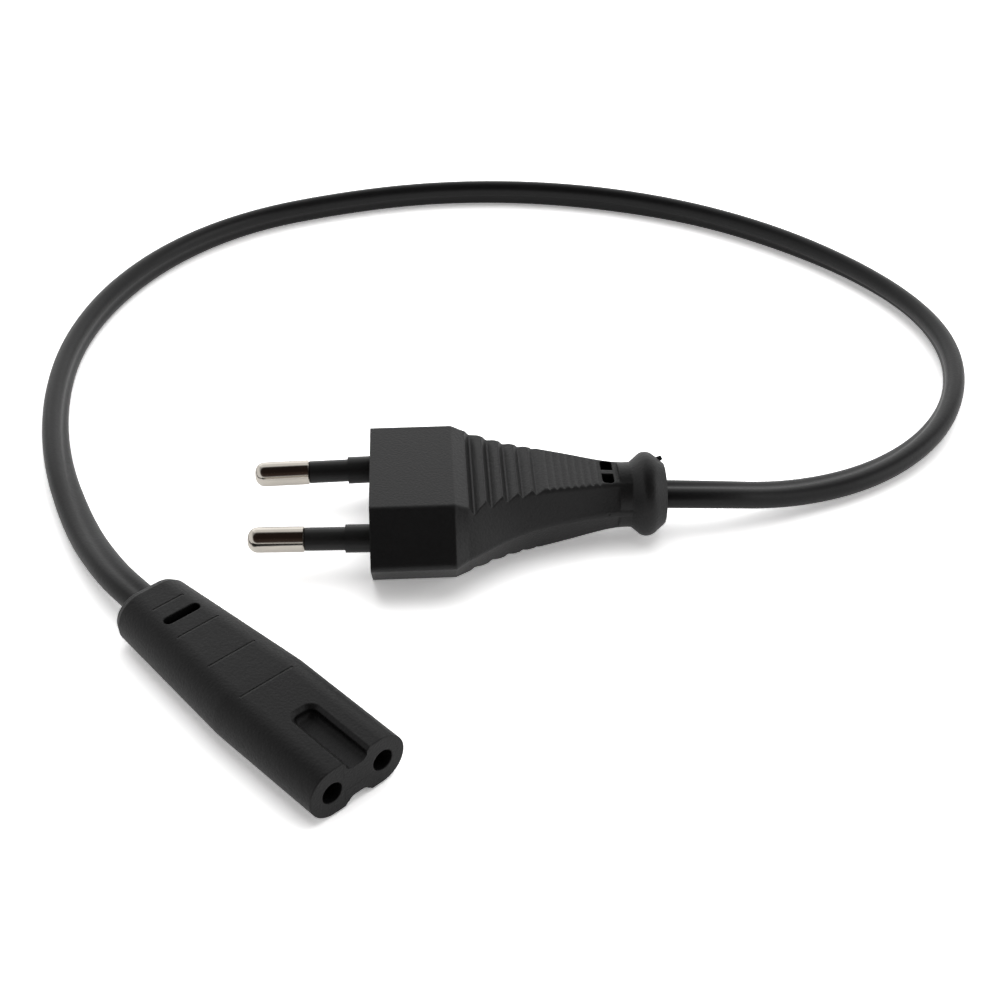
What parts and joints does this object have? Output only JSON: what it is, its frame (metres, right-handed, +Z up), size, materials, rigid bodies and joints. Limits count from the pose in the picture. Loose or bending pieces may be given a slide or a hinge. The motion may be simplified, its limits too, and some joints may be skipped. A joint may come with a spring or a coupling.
{
  "type": "figure eight power connector lead",
  "caption": "Short flat mains lead: flat europlug with round pins, ribbed grip and collar, looped flat cord, and a tapered figure eight connector with a key groove.",
  "frame": {"origin": "on the surface that the lead lies on, under the centre of the box round the plug and the connector, without the cord", "axes": "+X along the connector towards its mating face, +Z up, +Y to the side of the loop; the plug points 49.2 degrees round from +X"},
  "size_m": [0.1545, 0.1766, 0.014],
  "materials": {
    "black_moulding": "fine matt grain, soft flexible plastic",
    "cord_sheath": "satin flexible plastic",
    "hard_insert": "smooth satin hard plastic",
    "nickel_plate": "polished nickel plating on brass",
    "spring_bronze": "bare rolled strip",
    "copper": "bare fine strands",
    "core_brown": "smooth insulation",
    "core_blue": "smooth insulation"
  },
  "bodies": {
    "root": {"plug_body": "black_moulding", "connector_housing": "black_moulding", "cord": "cord_sheath", "plug_bridge": "hard_insert", "contact_carrier": "hard_insert", "pin_sleeve_left": "hard_insert", "plug_pin_left": "nickel_plate", "socket_contact_left": "spring_bronze", "plug_strands_left": "copper", "connector_strands_left": "copper", "plug_core_left": "core_brown", "pin_sleeve_right": "hard_insert", "plug_pin_right": "nickel_plate", "socket_contact_right": "spring_bronze", "plug_strands_right": "copper", "connector_strands_right": "copper", "plug_core_right": "core_blue", "connector_core_left": "core_blue", "connector_core_right": "core_brown"}
  },
  "joints": []
}
